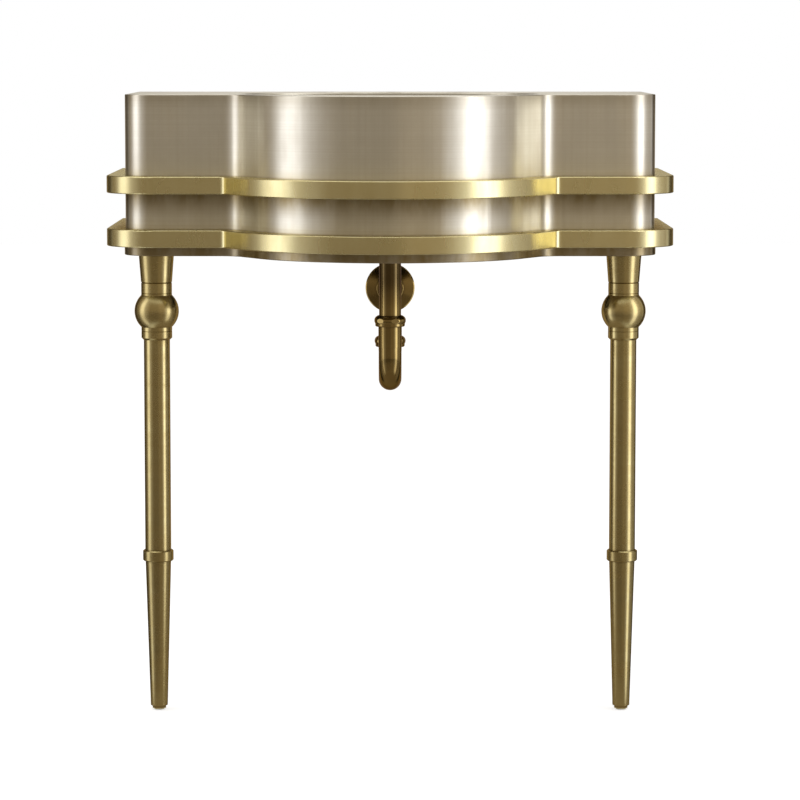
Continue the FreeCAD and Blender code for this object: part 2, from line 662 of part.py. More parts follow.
def slip_washer(ferrule_top, y):
    washer = ring(FERRULE_RADIUS, TUBE_SOCKET, ferrule_top, ferrule_top + SLIP_WASHER_HEIGHT)
    return moved(washer, 0, y)


def elbow(radius, y, z, hub_y, angle):
    """Part of a bent bar: a level disc at y, z swept about the X axis through hub_y at z."""
    disc = Part.Face(Part.Wire([Part.Circle(Vector(0, y, z), UP, radius).toShape()]))
    return disc.revolve(Vector(0, hub_y, z), RIGHT, angle)


def trap_form(tube, socket, ferrule):
    """The U bend's outer or inner form, with the radii of its tube, sockets and ferrules."""
    solid = elbow(tube, DRAIN_Y, TRAP_BEND_HEIGHT, TRAP_HUB_Y, 180)
    solid = solid.fuse(moved(cylinder(tube, TRAP_BEND_HEIGHT, INLET_LOW), 0, DRAIN_Y))
    inlet = (DRAIN_Y, INLET_LOW, TRAP_INLET_HEIGHT)
    outlet = (OUTLET_Y, TRAP_BEND_HEIGHT, TRAP_OUTLET_HEIGHT)
    for y, low, high in (inlet, outlet):
        solid = solid.fuse(moved(cylinder(socket, low, high), 0, y))
        solid = solid.fuse(moved(cylinder(ferrule, high - FERRULE_HEIGHT, high), 0, y))
    return solid


def trap_bend():
    """The U bend: a tall inlet socket in front, a short outlet socket behind."""
    outer = trap_form(TRAP_TUBE_RADIUS, SOCKET_RADIUS, FERRULE_RADIUS)
    inner = trap_form(TRAP_TUBE_RADIUS - TRAP_TUBE_WALL, SOCKET_BORE, SOCKET_BORE)
    return outer.cut(inner).removeSplitter()


def tailpiece():
    low = INLET_LOW + TUBE_END_GAP
    high = BODY_END + TAILPIECE_SOCKET_DEPTH
    return moved(ring(TUBE_RADIUS, TUBE_BORE, low, high), 0, DRAIN_Y)


def arm_form(radius):
    """A solid bar along the arm: up out of the trap, round a bend and back to the wall."""
    bend_low = ARM_HEIGHT - TRAP_BEND_RADIUS
    upright = cylinder(radius, TRAP_BEND_HEIGHT + TUBE_END_GAP, bend_low)
    start = Vector(0, ARM_BEND_Y, ARM_HEIGHT)
    level = Part.makeCylinder(radius, WALL_Y - ARM_BEND_Y, start, BACK)
    bend = elbow(radius, OUTLET_Y, bend_low, ARM_BEND_Y, -90)
    return moved(upright, 0, OUTLET_Y).fuse(bend).fuse(level)


def trap_arm():
    """The arm's tube, and its stub past the wall face, drawn down to enter the wall's socket."""
    wall_face = Vector(0, WALL_Y, ARM_HEIGHT)
    stub_radius = TUBE_RADIUS - OUTLET_STEP
    cone = Part.makeCone(TUBE_RADIUS, stub_radius, OUTLET_CONE, wall_face, BACK)
    stub = Part.makeCylinder(
        stub_radius, OUTLET_STUB - OUTLET_CONE, wall_face + BACK * OUTLET_CONE, BACK
    )
    bore = Part.makeCylinder(stub_radius - TUBE_WALL, OUTLET_STUB, wall_face, BACK)
    outer = arm_form(TUBE_RADIUS).fuse(cone).fuse(stub)
    return outer.cut(arm_form(TUBE_BORE)).cut(bore).removeSplitter()


def escutcheon():
    """The wall flange: a flat disc with a beveled rim, a shallow crown and a round hub."""
    rounded = ESCUTCHEON_HUB_ROUND * (1 - math.sqrt(0.5))
    plate = turned(
        [
            (0, 0),
            (ESCUTCHEON_RADIUS, 0),
            (ESCUTCHEON_RADIUS, ESCUTCHEON_EDGE),
            (ESCUTCHEON_RADIUS - ESCUTCHEON_RIM_BEVEL, ESCUTCHEON_RIM),
            (ESCUTCHEON_HUB_RADIUS, ESCUTCHEON_CROWN),
            (ESCUTCHEON_HUB_RADIUS, ESCUTCHEON_HUB_LENGTH - ESCUTCHEON_HUB_ROUND),
            (ESCUTCHEON_HUB_RADIUS - ESCUTCHEON_HUB_ROUND, ESCUTCHEON_HUB_LENGTH),
            (0, ESCUTCHEON_HUB_LENGTH),
        ],
        bore=TUBE_RADIUS + RUNNING,
        arcs={5: (ESCUTCHEON_HUB_RADIUS - rounded, ESCUTCHEON_HUB_LENGTH - rounded)},
    )
    plate.rotate(CENTRE, RIGHT, 90)
    return moved(plate, 0, WALL_Y, ARM_HEIGHT)


# ---------------------------------------------------------------- legs
def drum(radius, low, high, low_bevel, high_bevel):
    """A short turned drum whose edges are beveled to leave a line at each joint."""
    return turned(
        [
            (0, low),
            (radius - low_bevel, low),
            (radius, low + low_bevel),
            (radius, high - high_bevel),
            (radius - high_bevel, high),
            (0, high),
        ],
        bore=ROD_HOLE_RADIUS,
    )


def leg_cap():
    return turned(
        [
            (0, CAP_LOW),
            (CAP_BOTTOM_RADIUS - GROOVE, CAP_LOW),
            (CAP_BOTTOM_RADIUS, CAP_LOW + GROOVE),
            (CAP_TOP_RADIUS, PAN_UNDER),
            (0, PAN_UNDER),
        ],
        bore=ROD_HOLE_RADIUS,
    )


def leg_ball():
    """A ball between two short necks."""
    return turned(
        [
            (0, BALL_LOW),
            (RING_RADIUS - FINE_GROOVE, BALL_LOW),
            (RING_RADIUS, BALL_LOW + FINE_GROOVE),
            (RING_RADIUS, BALL_Z - BALL_REACH),
            (RING_RADIUS, BALL_Z + BALL_REACH),
            (RING_RADIUS, UPPER_RING_LOW - FINE_GROOVE),
            (RING_RADIUS - FINE_GROOVE, UPPER_RING_LOW),
            (0, UPPER_RING_LOW),
        ],
        bore=ROD_HOLE_RADIUS,
        arcs={3: (BALL_RADIUS, BALL_Z)},
    )


def leg_lower_ring():
    """The ring under the ball, with the spigot that stands in the shaft."""
    drum_piece = drum(RING_RADIUS, SHAFT_TOP, BALL_LOW, LOWER_RING_BEVEL, FINE_GROOVE)
    spigot = ring(SPIGOT_RADIUS, ROD_HOLE_RADIUS, SHAFT_TOP - SPIGOT_LENGTH, SHAFT_TOP)
    return drum_piece.fuse(spigot).removeSplitter()


def leg_collar():
    """The collar over the joint between the shaft and the taper."""
    collar = drum(SHAFT_RADIUS + COLLAR_PROUD, COLLAR_LOW, COLLAR_TOP, COLLAR_BEVEL, COLLAR_BEVEL)
    return collar.cut(cylinder(SHAFT_RADIUS + SPIGOT_SLACK, COLLAR_LOW, COLLAR_TOP))


def leg_taper():
    """The tapering foot of the leg, with its spigot, the tie rod's hole and the foot's hole."""
    taper = turned(
        [
            (0, LEG_END),
            (TAPER_BOTTOM_RADIUS - TAPER_EDGE, LEG_END),
            (TAPER_BOTTOM_RADIUS, LEG_END + TAPER_EDGE),
            (TAPER_TOP_RADIUS, TAPER_TOP),
            (SPIGOT_RADIUS, TAPER_TOP),
            (SPIGOT_RADIUS, SPIGOT_TOP),
            (0, SPIGOT_TOP),
        ]
    )
    foot_hole_top = LEG_END + FOOT_STEM_LENGTH + FOOT_STEM_SPARE
    taper = taper.cut(cylinder(ROD_THREAD_RADIUS, ROD_HOLE_LOW, SPIGOT_TOP))
    return taper.cut(cylinder(FOOT_STEM_RADIUS + RUNNING, LEG_END, foot_hole_top))


def leg_nut():
    nut = hexagon(LEG_NUT_FLATS, LEG_WASHER_TOP, LEG_NUT_TOP)
    return nut.cut(cylinder(ROD_THREAD_RADIUS, LEG_WASHER_TOP, LEG_NUT_TOP))


def foot_bolt():
    """The levelling bolt, head down, with a hole for the pad's pin."""
    head_top = FOOT_PAD_THICKNESS + FOOT_HEAD_HEIGHT
    pin_hole_top = FOOT_PAD_THICKNESS + FOOT_PIN_LENGTH + FIT
    bolt = hexagon(FOOT_FLATS, FOOT_PAD_THICKNESS, head_top)
    bolt = bolt.fuse(cylinder(FOOT_STEM_RADIUS, head_top, LEG_END + FOOT_STEM_LENGTH))
    return bolt.cut(cylinder(FOOT_PIN_RADIUS + RUNNING, FOOT_PAD_THICKNESS, pin_hole_top))


def foot_pad():
    """The glide pad on the floor, with the pin that the bolt turns on."""
    pin_top = FOOT_PAD_THICKNESS + FOOT_PIN_LENGTH
    pad = cylinder(FOOT_PAD_RADIUS, 0, FOOT_PAD_THICKNESS)
    return pad.fuse(cylinder(FOOT_PIN_RADIUS, FOOT_PAD_THICKNESS, pin_top)).removeSplitter()


def leg():
    """Every piece of one leg about the Z axis, from the casing's inside down to the floor."""
    return {
        "leg_nut": leg_nut(),
        "leg_washer": ring(LEG_WASHER_RADIUS, ROD_HOLE_RADIUS, BLOCK_TOP, LEG_WASHER_TOP),
        "leg_block": ring(BLOCK_RADIUS, ROD_HOLE_RADIUS, PAN_TOP, BLOCK_TOP),
        "leg_rod": cylinder(ROD_RADIUS, ROD_HOLE_LOW + ROD_END_GAP, LEG_NUT_TOP + ROD_PAST_NUT),
        "leg_cap": leg_cap(),
        "leg_upper_ring": drum(RING_RADIUS, UPPER_RING_LOW, CAP_LOW, FINE_GROOVE, GROOVE),
        "leg_ball": leg_ball(),
        "leg_lower_ring": leg_lower_ring(),
        "leg_shaft": ring(SHAFT_RADIUS, SHAFT_BORE, TAPER_TOP, SHAFT_TOP),
        "leg_collar": leg_collar(),
        "leg_taper": leg_taper(),
        "foot_bolt": foot_bolt(),
        "foot_pad": foot_pad(),
    }


# ---------------------------------------------------------------- all nodes
def nodes():
    made = {
        "deck": deck(),
        "apron": apron(),
        "back_panel": back_panel(),
        "wall_plate": wall_plate(),
        "base_pan": base_pan(),
        "basin": basin(),
        "upper_band": band(UPPER_BAND_DROP),
        "upper_band_screws": band_screws(UPPER_BAND_DROP),
        "lower_band": band(LOWER_BAND_DROP),
        "lower_band_screws": band_screws(LOWER_BAND_DROP),
        "drain_body": drain_body(),
        **drain_stack(),
        **stopper(),
        "tailpiece": tailpiece(),
        "inlet_nut": slip_nut(TRAP_INLET_HEIGHT, DRAIN_Y),
        "inlet_washer": slip_washer(TRAP_INLET_HEIGHT, DRAIN_Y),
        "trap_bend": trap_bend(),
        "outlet_nut": slip_nut(TRAP_OUTLET_HEIGHT, OUTLET_Y),
        "outlet_washer": slip_washer(TRAP_OUTLET_HEIGHT, OUTLET_Y),
        "trap_arm": trap_arm(),
        "escutcheon": escutcheon(),
    }
    for name, x in (("left", -LEG_X), ("right", LEG_X)):
        for piece, shape in leg().items():
            made[f"{name}_{piece}"] = moved(shape, x, LEG_Y)
    return made


os.makedirs("parts", exist_ok=True)
for node, shape in nodes().items():
    shape.exportStep(f"parts/{node}.step")
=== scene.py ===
"""Console sink: materials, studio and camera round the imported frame. Metres, front at -Y."""

import json
import math

import bpy
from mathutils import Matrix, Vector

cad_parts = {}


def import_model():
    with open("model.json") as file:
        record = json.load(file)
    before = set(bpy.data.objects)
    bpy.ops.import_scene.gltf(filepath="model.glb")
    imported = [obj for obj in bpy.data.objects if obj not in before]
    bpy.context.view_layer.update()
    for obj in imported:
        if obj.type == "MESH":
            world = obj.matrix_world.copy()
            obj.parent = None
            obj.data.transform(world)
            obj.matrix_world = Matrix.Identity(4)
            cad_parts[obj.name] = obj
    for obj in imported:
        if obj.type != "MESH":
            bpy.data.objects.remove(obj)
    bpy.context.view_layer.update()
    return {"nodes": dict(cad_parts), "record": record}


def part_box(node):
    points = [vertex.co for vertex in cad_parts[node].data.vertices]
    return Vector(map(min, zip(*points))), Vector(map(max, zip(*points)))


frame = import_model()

SCENE = bpy.context.scene


# ---------------------------------------------------------------- shader helpers
class Tree:
    """A short way to write a shader node tree."""

    def __init__(self, tree):
        tree.nodes.clear()
        self.tree = tree

    def add(self, kind, inputs=None, **settings):
        """A new node. Inputs gives each named or numbered socket a value or another's output."""
        node = self.tree.nodes.new(kind)
        for key, value in settings.items():
            setattr(node, key, value)
        for key, value in (inputs or {}).items():
            self.put(node.inputs[key], value)
        return node

    def put(self, socket, value):
        if isinstance(value, bpy.types.NodeSocket):
            self.tree.links.new(value, socket)
        elif isinstance(value, tuple) and socket.type == "RGBA":
            socket.default_value = (*value, 1)
        else:
            socket.default_value = value

    def math(self, what, a, b=0.0, c=0.0):
        made = self.add("ShaderNodeMath", operation=what)
        for socket, value in zip(made.inputs, (a, b, c)):
            self.put(socket, value)
        return made.outputs[0]

    def own_place(self):
        """The place on the object, in its own metres."""
        return self.add("ShaderNodeTexCoord").outputs["Object"]

    def room_place(self):
        """The place in the room."""
        return self.add("ShaderNodeNewGeometry").outputs["Position"]

    def xyz(self, place):
        return self.add("ShaderNodeSeparateXYZ", {0: place}).outputs

    def noise(self, scale, detail, rough):
        """Noise in the object's own metres. Scale is in cells per metre along X, Y and Z."""
        spot = self.add("ShaderNodeMapping", {"Vector": self.own_place(), "Scale": scale})
        made = self.add(
            "ShaderNodeTexNoise",
            {"Vector": spot.outputs[0], "Scale": 1.0, "Detail": detail, "Roughness": rough},
        )
        return made.outputs["Fac"]

    def spread(self, value, low, high, to_low=0.0, to_high=1.0):
        """The part of value between low and high, mapped smoothly to to_low and to_high."""
        made = self.add(
            "ShaderNodeMapRange",
            {
                "Value": value,
                "From Min": low,
                "From Max": high,
                "To Min": to_low,
                "To Max": to_high,
            },
            interpolation_type="SMOOTHSTEP",
        )
        return made.outputs["Result"]

    def mix(self, factor, a, b):
        made = self.add("ShaderNodeMix", data_type="RGBA")
        for key, value in (("Factor", factor), ("A", a), ("B", b)):
            socket = [s for s in made.inputs if s.name == key and s.enabled][0]
            self.put(socket, value)
        return [s for s in made.outputs if s.enabled][0]

    def seen(self):
        """1 for camera, glossy and transmission rays, and 0 for the rays that light things."""
        path = self.add("ShaderNodeLightPath").outputs
        mirrored = self.math("ADD", path["Is Glossy Ray"], path["Is Transmission Ray"])
        return self.math("ADD", path["Is Camera Ray"], mirrored)

    def surface(self, shader):
        self.add("ShaderNodeOutputMaterial", {"Surface": shader})


def new_material(name):
    made = bpy.data.materials.new(name)
    made.use_nodes = True
    return made, Tree(made.node_tree)


# ---------------------------------------------------------------- metals
NUDGE = 0.001               # turns the tangent to X where the surface is level
QUARTER_TURN = 0.25         # spreads the reflections across the tangent, up and down
FINE_SHARE = 0.6            # of the streaks' share, for the finer streaks
TALL_CLOUD = 0.7            # cells of the patina along Z, of those across
SPECK = 160.0               # cells per metre
MOST = (0.3, 0.7)           # where most of a noise's values lie
WEAR = 0.03                 # how far each of two noises moves the roughness
AO_SAMPLES = 6
OPEN_CORNER = (0.35, 0.95)  # ambient occlusion from full grime and painted shade to none
COAT_ROUGHNESS = 0.12


def level_tangent(t):
    """The direction round the Z axis on any surface, and along X on a level one."""
    normal = t.add("ShaderNodeNewGeometry").outputs["Normal"]
    across = t.add("ShaderNodeVectorMath", {0: (0, 0, 1), 1: normal}, operation="CROSS_PRODUCT")
    shifted = t.add(
        "ShaderNodeVectorMath", {0: across.outputs[0], 1: (NUDGE, 0, 0)}, operation="ADD"
    )
    return t.add("ShaderNodeVectorMath", {0: shifted.outputs[0]}, operation="NORMALIZE").outputs[0]


def brushed(
    name,
    colour,
    shade,
    grime_and_shade,
    roughness,
    anisotropy,
    streaks,
    lines,
    streak_depth=0.00004,
    line_depth=0.000006,
    wave_share=0.5,
    line_share=0.1,
    speck_share=0.2,
    patina=14.0,
    patina_share=0.6,
    seam=0.006,
    seam_share=0.7,
    coat=0.0,
    rim=(1.0, 1.0, 1.0),
    painted_shade=None,
):
    """A metal brushed round the Z axis, which spreads its reflections up and down.

    Streaks are soft waves of the surface, lines the brush marks, and patina its darker clouds,
    all in cells per metre. Shade is the colour that they, finer streaks and specks bring, each
    by its share. Seam is how far from a joint the grime and the painted shade of creases reach,
    rim is the tint at a grazing angle, and painted_shade gives the share of painted shade that
    the place brings."""
    made, t = new_material(name)
    wave = t.noise(streaks, detail=3.0, rough=0.5)
    fine = t.noise((streaks[0] * 3, streaks[1] * 3, streaks[2] * 2), detail=2.0, rough=0.5)
    brush = t.noise(lines, detail=5.0, rough=0.7)
    cloud = t.noise((patina, patina, patina * TALL_CLOUD), detail=4.0, rough=0.6)
    speck = t.noise((SPECK, SPECK, SPECK), detail=3.0, rough=0.6)

    base = colour
    for value, low, high, share in (
        (cloud, 0.38, 0.68, patina_share),
        (wave, 0.35, 0.70, wave_share),
        (fine, 0.40, 0.70, wave_share * FINE_SHARE),
        (brush, 0.30, 0.70, line_share),
        (speck, 0.62, 0.80, speck_share),
    ):
        base = t.mix(t.spread(value, low, high, 0.0, share), base, shade)
    # painted shade: the given place darkens the colour where shade falls, such as under the bands
    if painted_shade:
        base = t.mix(painted_shade(t), base, grime_and_shade)
    # darker near joints and in creases by ambient occlusion: grime, and painted shade where shade
    # falls
    near = t.add("ShaderNodeAmbientOcclusion", {"Distance": seam}, samples=AO_SAMPLES)
    base = t.mix(t.spread(near.outputs["AO"], *OPEN_CORNER, seam_share, 0.0), base, grime_and_shade)

    cloud_wear = t.spread(cloud, *MOST, -WEAR, WEAR)
    wave_wear = t.spread(wave, *MOST, -WEAR, WEAR)
    rough = t.math("ADD", t.math("ADD", cloud_wear, wave_wear), roughness)
    waves = t.add("ShaderNodeBump", {"Strength": 1.0, "Distance": streak_depth, "Height": wave})
    marks = t.add(
        "ShaderNodeBump",
        {"Strength": 1.0, "Distance": line_depth, "Height": brush, "Normal": waves.outputs[0]},
    )
    shader = t.add(
        "ShaderNodeBsdfPrincipled",
        {
            "Base Color": base,
            "Metallic": 1.0,
            "Roughness": rough,
            "Anisotropic": anisotropy,
            "Anisotropic Rotation": QUARTER_TURN,
            "Tangent": level_tangent(t),
            "Normal": marks.outputs[0],
            "Coat Weight": coat,
            "Coat Roughness": COAT_ROUGHNESS,
            "Specular Tint": rim,
        },
    )
    t.surface(shader.outputs[0])
    return made


SHADE_UNDER_BAND = 0.95                # share of painted shade right under a band and on the casing's foot
SHADE_REACH = 0.038         # how far down from the upper band the casing gets painted shade
DECK_SHADE = 0.30           # share of painted shade right under the deck
DECK_REACH = 0.022
BLOTCH = (40.0, 40.0, 14.0)         # cells per metre of the blotches in the painted shade
BLOTCH_SHARE = (0.75, 1.1)          # of the painted shade, from the lightest blotch to the darkest
PIPE_SHADE = 0.75           # share of painted shade on the trap's upright pipe at the pan
PIPE_REACH = (0.085, 0.035)         # below the pan, from no painted shade to the full one
PIPE_REAR = (0.03, 0.12)            # Y from the full painted shade to none


def under_the_bands(t):
    """The share of painted shade on the casing: under each band, on the whole pan, under the deck.
    """
    z = t.xyz(t.own_place())["Z"]
    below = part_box("upper_band")[0][2]
    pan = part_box("lower_band")[0][2]
    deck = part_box("deck")[0][2]
    faded = t.spread(z, below - SHADE_REACH, below, 0.0, SHADE_UNDER_BAND)
    strip = t.math("MULTIPLY", faded, t.math("LESS_THAN", z, below))
    foot = t.math("MULTIPLY", t.math("LESS_THAN", z, pan), SHADE_UNDER_BAND)
    top = t.spread(z, deck - DECK_REACH, deck, 0.0, DECK_SHADE)
    share = t.math("ADD", t.math("MAXIMUM", strip, foot), top)
    blotch = t.noise(BLOTCH, detail=3.0, rough=0.6)
    return t.math("MULTIPLY", share, t.spread(blotch, *MOST, *BLOTCH_SHARE))


def under_the_pan(t):
    """The share of painted shade on the trap: it grows towards the pan and fades to the wall."""
    _, y, z = t.xyz(t.own_place())
    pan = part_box("base_pan")[0][2]
    low, high = PIPE_REACH
    grown = t.spread(z, pan - low, pan - high, 0.0, PIPE_SHADE)
    return t.math("MULTIPLY", grown, t.spread(y, *PIPE_REAR, 1.0, 0.0))


GRAIN = 300.0               # cells per metre of a moulded surface
GRAIN_DEPTH = 0.00003
GRAIN_WEAR = 0.05           # how far the grain moves the roughness


def plain(name, colour, shade, roughness):
    """Rubber or plastic with a fine moulded grain."""
    made, t = new_material(name)
    fine = t.noise((GRAIN, GRAIN, GRAIN), detail=3.0, rough=0.6)
    bump = t.add("ShaderNodeBump", {"Strength": 0.5, "Distance": GRAIN_DEPTH, "Height": fine})
    rough = t.spread(fine, *MOST, roughness - GRAIN_WEAR, roughness + GRAIN_WEAR)
    shader = t.add(
        "ShaderNodeBsdfPrincipled",
        {
            "Base Color": t.mix(fine, shade, colour),
            "Roughness": rough,
            "Normal": bump.outputs[0],
        },
    )
    t.surface(shader.outputs[0])
    return made


# ---------------------------------------------------------------- what each slot is made of
# the casing gets painted shade under its bands, over its pan and under its deck
CASING = brushed(
    "casing_nickel",
    colour=(0.80, 0.785, 0.70), shade=(0.64, 0.60, 0.50), grime_and_shade=(0.31, 0.25, 0.14),
    rim=(0.85, 0.83, 0.78), roughness=0.36, anisotropy=0.85,
    streaks=(60.0, 60.0, 1.8), streak_depth=0.00001, wave_share=0.35,
    lines=(1.5, 1.5, 450.0), line_depth=0.000002, line_share=0.35,
    patina_share=0.4, seam=0.003, seam_share=0.5, painted_shade=under_the_bands,
)
BASIN = brushed(
    "basin_nickel",
    colour=(0.74, 0.73, 0.68), shade=(0.66, 0.63, 0.56), grime_and_shade=(0.30, 0.25, 0.18),
    roughness=0.28, anisotropy=0.4,
    streaks=(14.0, 14.0, 14.0), streak_depth=0.00001,
    lines=(2.0, 2.0, 450.0), line_depth=0.000002,
    speck_share=0.1, patina_share=0.4,
)
BAND = brushed(
    "band_brass",
    colour=(0.74, 0.68, 0.40), shade=(0.66, 0.58, 0.30), grime_and_shade=(0.20, 0.14, 0.05),
    rim=(0.75, 0.68, 0.50), roughness=0.25, anisotropy=0.6,
    streaks=(45.0, 45.0, 12.0), streak_depth=0.000005,
    lines=(3.0, 3.0, 1400.0), line_depth=0.000002,
    speck_share=0.1, seam=0.003,
)
LEG = brushed(
    "leg_brass",
    colour=(0.57, 0.48, 0.23), shade=(0.47, 0.37, 0.15), grime_and_shade=(0.10, 0.06, 0.015),
    rim=(0.50, 0.42, 0.28), roughness=0.25, anisotropy=0.7, coat=0.3,
    streaks=(12.0, 12.0, 60.0), streak_depth=0.000005,
    lines=(4.0, 4.0, 1500.0), line_depth=0.000002,
    speck_share=0.1, patina=22.0, seam=0.004, seam_share=0.85,
)
# the trap gets painted shade on its pipe just under the pan
TRAP = brushed(
    "trap_brass",
    colour=(0.36, 0.265, 0.095), shade=(0.26, 0.18, 0.055), grime_and_shade=(0.05, 0.031, 0.01),
    rim=(0.40, 0.30, 0.18), roughness=0.13, anisotropy=0.2, coat=0.3,
    streaks=(25.0, 25.0, 25.0), streak_depth=0.000005,
    lines=(60.0, 60.0, 60.0), line_depth=0.000002,
    patina=28.0, seam=0.004, painted_shade=under_the_pan,
)
DRAIN = brushed(
    "drain_nickel",
    colour=(0.76, 0.71, 0.63), shade=(0.66, 0.60, 0.51), grime_and_shade=(0.25, 0.20, 0.14),
    roughness=0.24, anisotropy=0.3,
    streaks=(60.0, 60.0, 60.0), lines=(300.0, 300.0, 300.0),
)
STEEL = brushed(
    "steel",
    colour=(0.60, 0.60, 0.61), shade=(0.50, 0.50, 0.51), grime_and_shade=(0.20, 0.19, 0.18),
    roughness=0.34, anisotropy=0.3,
    streaks=(20.0, 20.0, 20.0), lines=(300.0, 300.0, 300.0),
)
RUBBER = plain("rubber", colour=(0.035, 0.035, 0.037), shade=(0.02, 0.02, 0.02), roughness=0.6)
NYLON = plain("nylon", colour=(0.74, 0.72, 0.66), shade=(0.62, 0.60, 0.54), roughness=0.45)

BY_SLOT = {
    "casing_metal": CASING,
    "basin_metal": BASIN,
    "band_brass": BAND,
    "leg_brass": LEG,
    "trap_brass": TRAP,
    "drain_metal": DRAIN,
    "steel": STEEL,
    "rubber": RUBBER,
    "nylon": NYLON,
}
for row in frame["record"]["subparts"]:
    mesh = frame["nodes"][row["node"]].data
    mesh.materials.clear()
    mesh.materials.append(BY_SLOT[row["material_slot"]])


# ---------------------------------------------------------------- studio
WALL_RADIUS = 2.4
WALL_HEIGHT = 3.0
WALL_STEPS = 96
DISC_STEPS = 64

DIM = (0.357, 0.290, 0.207)         # the warm dim room that the metal reflects
ROOM_FOOT = (0.3, 0.9)              # heights between which the room reaches its full light
ROOM_LOW = 0.62                     # share of that light below them
SHADY = (106.0, 120.0)              # azimuths past which the room is dark on both sides
SHADY_SHARE = 0.35

# Soft boxes: azimuth, half width and soft edge in degrees, radiance.
LAMP_WHITE = (0.97, 0.985, 1.06)
LIT = (
    (65.0, 5.5, 9.0, 1.60),
    (62.0, 8.0, 22.0, 0.50),
    (78.0, 14.0, 26.0, 0.30),
    (115.0, 2.0, 6.0, 0.50),
    (-79.0, 5.0, 13.0, 1.10),
    (-74.0, 8.0, 30.0, 0.32),
    (-116.0, 1.0, 5.0, 0.15),
)
FILL = (26.0, 12.0, 14.0, 0.30)     # the room is a little lighter to the right of the front
REAR = (180.0, 8.0, 14.0, 0.75)     # pale wall behind, above the object
REAR_FOOT = 0.905

CARD_HALF, CARD_Y, CARD_TOP = 1.5, 0.75, 0.885
CARD_SIDE = (0.65, 0.95)            # |X| between which the card behind turns dark
CARD_LIGHT = (1.3, 0.25)            # of DIM, in its middle and at its sides

MIRROR_Z = 0.002
MIRROR_GAP = 0.01                   # between the mirror's rim and the studio wall
MIRROR_GREY = (0.6, 0.6, 0.6)
MIRROR_ROUGHNESS = 0.1
MIRROR_GLOW = 0.8                   # of DIM, in the mirror's middle
MIRROR_START = (0.30, 0.60)         # from the middle, where the glow gives way to the mirror

FLOOR_COLOUR = (0.86, 0.86, 0.855)
FLOOR_LIFT = 0.62
WHITE = (1.0, 1.0, 1.0)
SKY_LIGHT = 0.5                     # strength of the world where it lights the object


def mesh_object(name, verts, faces, material):
    mesh = bpy.data.meshes.new(name)
    mesh.from_pydata(verts, [], faces)
    mesh.update()
    mesh.materials.append(material)
    made = bpy.data.objects.new(name, mesh)
    SCENE.collection.objects.link(made)
    return made


def disc(name, radius, height, material):
    turns = [i * 2 * math.pi / DISC_STEPS for i in range(DISC_STEPS)]
    ring = [(radius * math.cos(a), radius * math.sin(a), height) for a in turns]
    return mesh_object(name, ring, [list(range(DISC_STEPS))], material)


def only_reflected(card):
    """Stage that shows in reflections alone."""
    card.visible_camera = False
    card.visible_shadow = False
    card.visible_diffuse = False


def soft_box(t, azimuth, place):
    """The light of one soft box at the azimuth of a point on the wall."""
    middle, flat, soft, radiance = place
    off = t.math("ABSOLUTE", t.math("SUBTRACT", azimuth, middle))
    return t.spread(off, flat + soft, flat, 0.0, radiance)


def wall_light():
    """Emission of the studio wall: a warm dim room with soft boxes, by azimuth from the front."""
    made, t = new_material("studio_wall")
    x, y, z = t.xyz(t.room_place())
    azimuth = t.math("DEGREES", t.math("ARCTAN2", x, t.math("MULTIPLY", y, -1.0)))
    aside = t.math("ABSOLUTE", azimuth)
    lit = 0.0
    for place in LIT:
        lit = t.math("ADD", lit, soft_box(t, azimuth, place))
    rear = t.math("MULTIPLY", soft_box(t, aside, REAR), t.math("GREATER_THAN", z, REAR_FOOT))
    room = t.math("ADD", soft_box(t, azimuth, FILL), t.spread(z, *ROOM_FOOT, ROOM_LOW, 1.0))
    room = t.math("MULTIPLY", room, t.spread(aside, *SHADY, 1.0, SHADY_SHARE))
    lamps = t.add("ShaderNodeEmission", {"Color": LAMP_WHITE, "Strength": t.math("ADD", lit, rear)})
    dim = t.add("ShaderNodeEmission", {"Color": DIM, "Strength": room})
    both = t.add("ShaderNodeAddShader", {0: lamps.outputs[0], 1: dim.outputs[0]})
    t.surface(both.outputs[0])
    return made


def studio_wall():
    verts = []
    for i in range(WALL_STEPS):
        a = 2 * math.pi * i / WALL_STEPS
        x, y = WALL_RADIUS * math.sin(a), -WALL_RADIUS * math.cos(a)
        verts += [(x, y, 0.0), (x, y, WALL_HEIGHT)]
    ring = len(verts)
    faces = [(i, i + 1, (i + 3) % ring, (i + 2) % ring) for i in range(0, ring, 2)]
    only_reflected(mesh_object("studio_wall", verts, faces, wall_light()))


def rear_card():
    """A card close behind the object, as high as its top, with dark sides for the metal's edges."""
    made, t = new_material("rear_card")
    aside = t.math("ABSOLUTE", t.xyz(t.room_place())["X"])
    strength = t.spread(aside, *CARD_SIDE, *CARD_LIGHT)
    glow = t.add("ShaderNodeEmission", {"Color": DIM, "Strength": strength})
    t.surface(glow.outputs[0])
    corners = ((-CARD_HALF, 0.0), (CARD_HALF, 0.0), (CARD_HALF, CARD_TOP), (-CARD_HALF, CARD_TOP))
    verts = [(x, CARD_Y, z) for x, z in corners]
    only_reflected(mesh_object("rear_card", verts, [(0, 1, 2, 3)], made))


def floor_mirror():
    """A mirror on the floor, so that the lower metal reflects the same room.

    Its middle glows dimly instead, which keeps the underside of the trap even."""
    made, t = new_material("floor_mirror")
    gloss = t.add(
        "ShaderNodeBsdfAnisotropic", {"Color": MIRROR_GREY, "Roughness": MIRROR_ROUGHNESS}
    )
    dim = t.add("ShaderNodeEmission", {"Color": DIM, "Strength": MIRROR_GLOW})
    out = t.add("ShaderNodeVectorMath", {0: t.room_place()}, operation="LENGTH").outputs["Value"]
    both = t.add(
        "ShaderNodeMixShader",
        {0: t.spread(out, *MIRROR_START), 1: dim.outputs[0], 2: gloss.outputs[0]},
    )
    t.surface(both.outputs[0])
    only_reflected(disc("floor_mirror", WALL_RADIUS - MIRROR_GAP, MIRROR_Z, made))


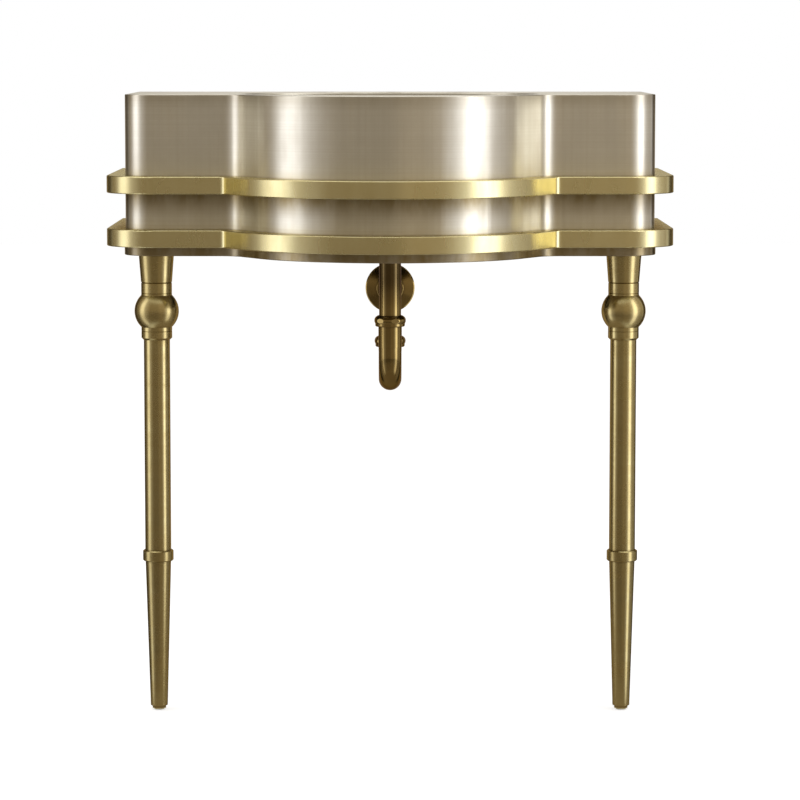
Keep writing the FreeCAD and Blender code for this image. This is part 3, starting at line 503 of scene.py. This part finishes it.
def floor():
    """The pale floor, lifted to white for the camera, where it keeps its shadow.

    It is clear from below, so that the underside can be seen."""
    made, t = new_material("floor")
    matte = t.add("ShaderNodeBsdfDiffuse", {"Color": FLOOR_COLOUR})
    lift = t.math("MULTIPLY", t.seen(), FLOOR_LIFT)
    glow = t.add("ShaderNodeEmission", {"Color": WHITE, "Strength": lift})
    both = t.add("ShaderNodeAddShader", {0: matte.outputs[0], 1: glow.outputs[0]})
    clear = t.add("ShaderNodeBsdfTransparent")
    below = t.add("ShaderNodeNewGeometry").outputs["Backfacing"]
    sided = t.add("ShaderNodeMixShader", {0: below, 1: both.outputs[0], 2: clear.outputs[0]})
    t.surface(sided.outputs[0])
    disc("floor", 12.0, -0.0005, made)


def world():
    """White for the camera and in reflections, and dimmer where it lights things."""
    made = bpy.data.worlds.new("studio")
    made.use_nodes = True
    t = Tree(made.node_tree)
    strength = t.math("MULTIPLY_ADD", t.seen(), 1.0 - SKY_LIGHT, SKY_LIGHT)
    back = t.add("ShaderNodeBackground", {"Color": WHITE, "Strength": strength})
    t.add("ShaderNodeOutputWorld", {"Surface": back.outputs[0]})
    SCENE.world = made


def lamp(name, place, turn, size, radiance, mirrored):
    """A soft lamp of one radiance. Turn is in degrees, and mirrored says if the metal shows it."""
    data = bpy.data.lights.new(name, "AREA")
    data.shape = "RECTANGLE"
    data.size, data.size_y = size
    data.energy = radiance * math.pi * size[0] * size[1]
    made = bpy.data.objects.new(name, data)
    made.location = place
    made.rotation_euler = [math.radians(v) for v in turn]
    made.visible_glossy = mirrored
    SCENE.collection.objects.link(made)


# ---------------------------------------------------------------- camera
SIZE = 800                  # side of the picture in pixels
FOCAL = 3494.7              # pixels
MIDDLE_X = 390.1            # picture column of the object's middle
EYE = (0.0, -5.0755, 0.9653)
PITCH = 5.80                # degrees that the camera looks down
SENSOR = 36.0               # millimetres
FAR = 100.0


def camera():
    """In front of the object, a little above its deck, looking down at its middle."""
    data = bpy.data.cameras.new("camera")
    data.sensor_width = SENSOR
    data.lens = FOCAL / SIZE * SENSOR
    data.shift_x = (SIZE / 2 - MIDDLE_X) / SIZE
    data.clip_end = FAR
    made = bpy.data.objects.new("camera", data)
    made.location = EYE
    made.rotation_euler = (math.radians(90 - PITCH), 0, 0)
    SCENE.collection.objects.link(made)
    SCENE.camera = made


floor()
floor_mirror()
studio_wall()
rear_card()
world()
camera()
lamp("top_light", (0, 0.3, 3.2), (0, 0, 0), (3.4, 2.6), 0.6, True)
lamp("left_light", (-2.3, -0.2, 1.2), (90, 0, -86), (1.3, 2.2), 0.6, False)
lamp("right_light", (2.2, -1.1, 1.2), (90, 0, 63), (1.3, 2.2), 0.9, False)
SCENE.view_settings.view_transform = "Standard"
